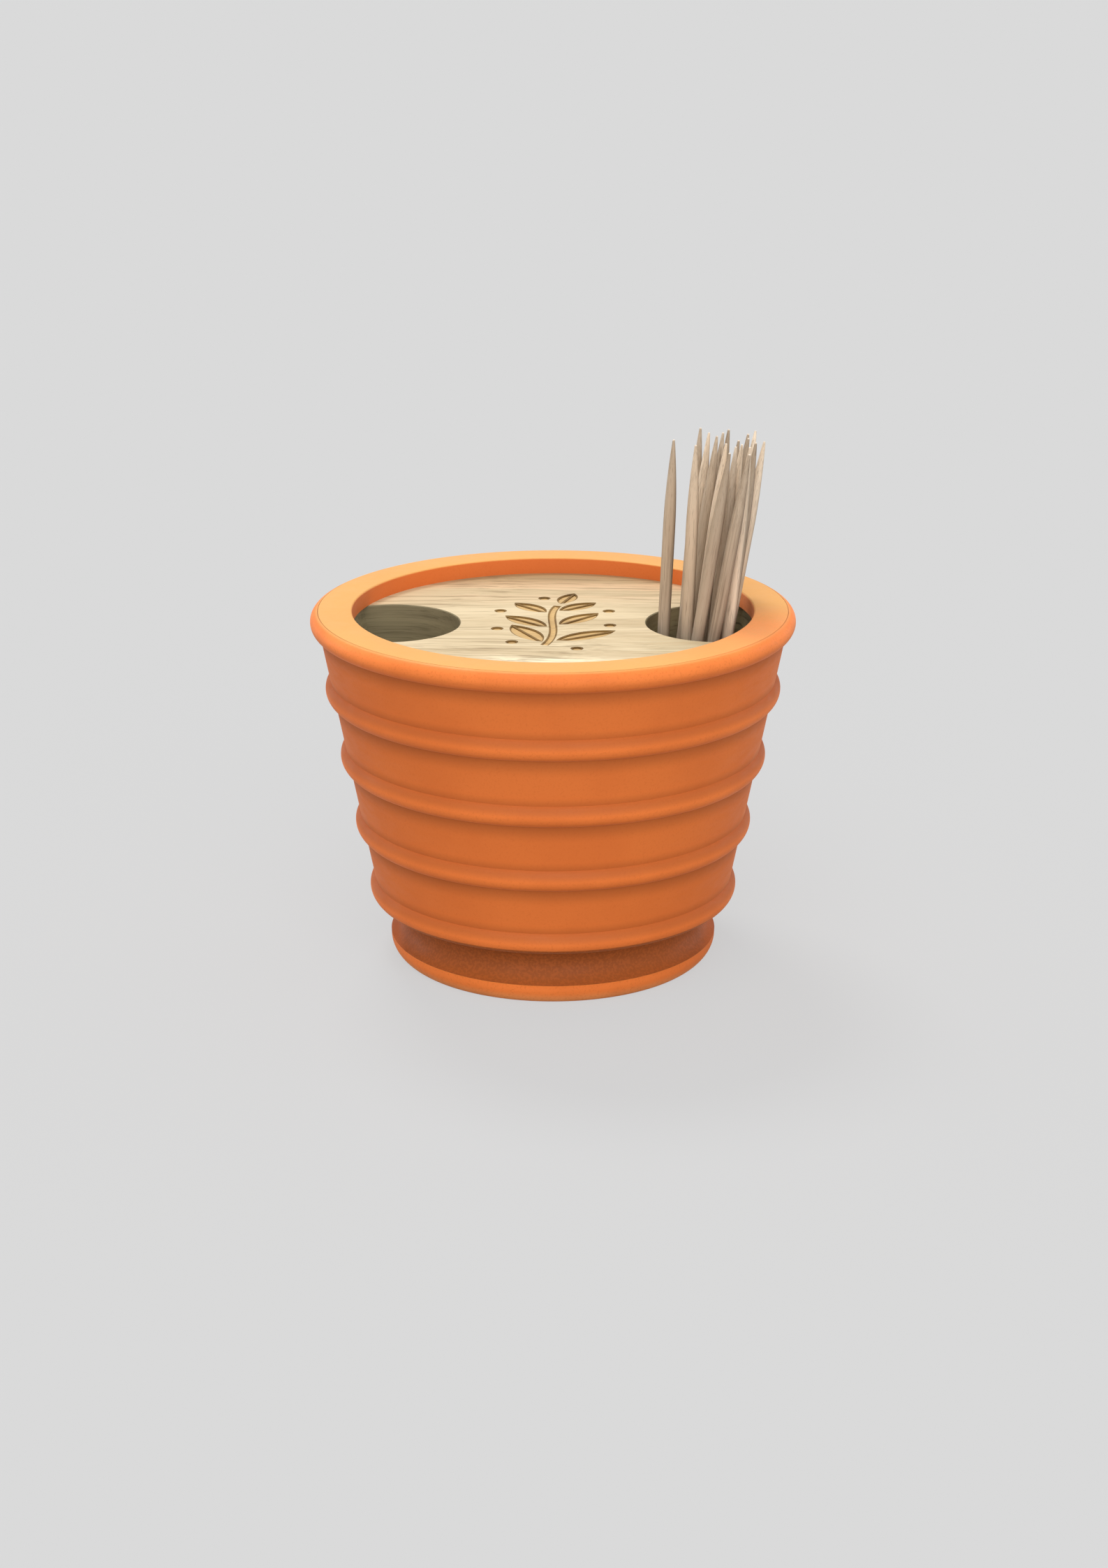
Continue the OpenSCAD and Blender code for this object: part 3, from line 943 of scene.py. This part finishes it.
pickLook = {
    "pale": fromScreen(254, 234, 208), "mid": fromScreen(234, 211, 183), "dark": fromScreen(118, 99, 80),
    # the darker tone serves both the darker planks and the painted shade
    "darkPlankAndShade": fromScreen(134, 115, 95), "plank": (1, 0.5), "plankStretch": (37.0, 37.0, 3.0),
    # the darker lower end is painted shade
    "plankFade": (0.4, 0.62), "plankShare": 0.7, "lowShadeOver": (24.0, 10.0), "lowShadeShare": 0.12,
    # the painted shade on the right and back side of each pick
    "far": fromScreen(100, 82, 65), "farFade": (0.0, 0.95), "farShare": 0.58,
    "tip": fromScreen(234, 218, 198), "tipOver": (32.28, 32.46),
    "band": (18.0, 420.0, 420.0), "streak": (50.0, 3600.0, 3600.0), "pore": (260.0, 9000.0, 9000.0),
    "waver": 0.0006, "bands": 1.0, "streaks": 0.8, "pores": 0.5,
    "specular": 0.2, "bump": 0.35, "bumpDepth": 0.1,
}


def turnedWood(name, look):
    material, tree, shader = newMaterial(name)
    grain = attribute(tree, "grainPlace")["Vector"]
    # the figure runs along X, and a pick along Z
    mapping = tree.nodes.new("ShaderNodeMapping")
    mapping.inputs["Rotation"].default_value = (0, math.radians(90), 0)
    tree.links.new(grain, mapping.inputs["Vector"])
    tones = (look["pale"], look["mid"], look["dark"])
    figure = wearWood(tree, shader, mapping.outputs[0], look, tones)
    # each pick comes from another plank, so its tone is its own
    plank = stretchedNoise(tree, grain, look["plankStretch"], *look["plank"])
    planked = ramp(tree, plank, *look["plankFade"], 0.0, look["plankShare"])
    toned = blendColour(tree, planked, figure["Colour"], look["darkPlankAndShade"])
    along = partsOf(tree, grain)["Z"]
    # painted shade: darker towards the lower end of each pick, where the bundle crowds
    toned = blendColour(tree, fade(tree, along, look["lowShadeOver"], 0.0, look["lowShadeShare"]), toned, look["darkPlankAndShade"])
    # painted shade on the right and back side of each pick
    turned = ramp(tree, attribute(tree, "farSide")["Fac"], *look["farFade"], 0.0, look["farShare"])
    toned = blendColour(tree, turned, toned, look["far"])
    tipped = fade(tree, maths(tree, "ABSOLUTE", along), look["tipOver"])
    tree.links.new(blendColour(tree, tipped, toned, look["tip"]), shader.inputs["Base Color"])
    return material


def dress(piece, *materials):
    piece.data.materials.clear()
    for material in materials:
        piece.data.materials.append(material)


dress(potPiece, plasticMaterial("potPlastic", potLook))
dress(collarPiece, plasticMaterial("collarPlastic", collarLook))
# in the order of the insert's finishes
woods = {"lidWood": lidLook, "pocketShadedWood": pocketShadeLook, "carvedWood": floorLook, "burntWood": burntLook}
dress(insertPiece, *[facedWood(name, look) for name, look in woods.items()])
insertPiece.data.polygons.foreach_set("material_index", insertFinish)
pickWood = turnedWood("pickWood", pickLook)
for piece in pickPieces:
    dress(piece, pickWood)
print("materials made")


# Floor, light and camera

# the camera sees the floor in one tone, and what it throws back on the pot is another
stage = {
    "seen": fromScreen(190, 190, 190), "bounce": fromScreen(156, 156, 156),
    "backdrop": fromScreen(217, 217, 217), "floorSize": 14.0, "around": 0.595, "selfLit": 0.78,
}
deselectAll()
bpy.ops.mesh.primitive_plane_add(size=stage["floorSize"], location=(0, 0, 0))
floor = bpy.context.object
floor.name = floor.data.name = "floor"
paper = bpy.data.materials.new("floorPaper")
paper.use_nodes = True
nodes, links = paper.node_tree.nodes, paper.node_tree.links
nodes.clear()
path = nodes.new("ShaderNodeLightPath")
mix = nodes.new("ShaderNodeMixShader")
out = nodes.new("ShaderNodeOutputMaterial")
links.new(path.outputs["Is Camera Ray"], mix.inputs["Fac"])
half = nodes.new("ShaderNodeMixShader")
half.inputs["Fac"].default_value = stage["selfLit"]
for target, tone in ((mix.inputs[1], "bounce"), (half.inputs[1], "seen")):
    matt = nodes.new("ShaderNodeBsdfDiffuse")
    matt.inputs["Color"].default_value = stage[tone]
    links.new(matt.outputs["BSDF"], target)
glow = nodes.new("ShaderNodeEmission")
glow.inputs["Color"].default_value = stage["backdrop"]
links.new(glow.outputs["Emission"], half.inputs[2])
links.new(half.outputs["Shader"], mix.inputs[2])
links.new(mix.outputs["Shader"], out.inputs["Surface"])
dress(floor, paper)

# a sun's place doesn't matter, only its turn, rise and spread, in degrees
lights = {
    "front": {"power": 2.0, "spread": 80, "turn": 8, "rise": 6},
    "high": {"power": 0.85, "spread": 40, "turn": -12, "rise": 60},
    "back": {"power": 1.5, "spread": 20, "turn": -157, "rise": 58},
    "left": {"power": 0.36, "spread": 30, "turn": -124, "rise": 10},
    "right": {"power": 0.32, "spread": 30, "turn": 124, "rise": 10},
}
for name, lamp in lights.items():
    deselectAll()
    bpy.ops.object.light_add(type="SUN", location=(0, 0, 0.5))
    light = bpy.context.object
    light.name = name + "Light"
    light.data.energy = lamp["power"]
    light.data.angle = math.radians(lamp["spread"])
    turn, rise = math.radians(lamp["turn"]), math.radians(lamp["rise"])
    toLamp = Vector((math.sin(turn) * math.cos(rise), -math.cos(turn) * math.cos(rise), math.sin(rise)))
    light.rotation_euler = toLamp.to_track_quat("Z", "Y").to_euler()

room = bpy.data.worlds.new("room")
bpy.context.scene.world = room
room.use_nodes = True
nodes, links = room.node_tree.nodes, room.node_tree.links
nodes.clear()
seen = nodes.new("ShaderNodeBackground")
seen.inputs["Color"].default_value = stage["backdrop"]
around = nodes.new("ShaderNodeBackground")
around.inputs["Color"].default_value = (1.0, 1.0, 1.0, 1.0)
around.inputs["Strength"].default_value = stage["around"]
path = nodes.new("ShaderNodeLightPath")
mix = nodes.new("ShaderNodeMixShader")
out = nodes.new("ShaderNodeOutputWorld")
links.new(path.outputs["Is Camera Ray"], mix.inputs["Fac"])
links.new(around.outputs["Background"], mix.inputs[1])
links.new(seen.outputs["Background"], mix.inputs[2])
links.new(mix.outputs["Shader"], out.inputs["Surface"])

view = {"place": (0.00017, -0.4509, 0.18), "tilt": 71.44, "lens": 64.85, "sensor": 36, "clip": 0.01}
deselectAll()
bpy.ops.object.camera_add(location=view["place"], rotation=(math.radians(view["tilt"]), 0, 0))
camera = bpy.context.object
camera.name = "camera"
camera.data.lens = view["lens"]
camera.data.sensor_width = view["sensor"]
camera.data.clip_start = view["clip"]
bpy.context.scene.camera = camera
bpy.context.scene.view_settings.view_transform = "Standard"
print("stage set")
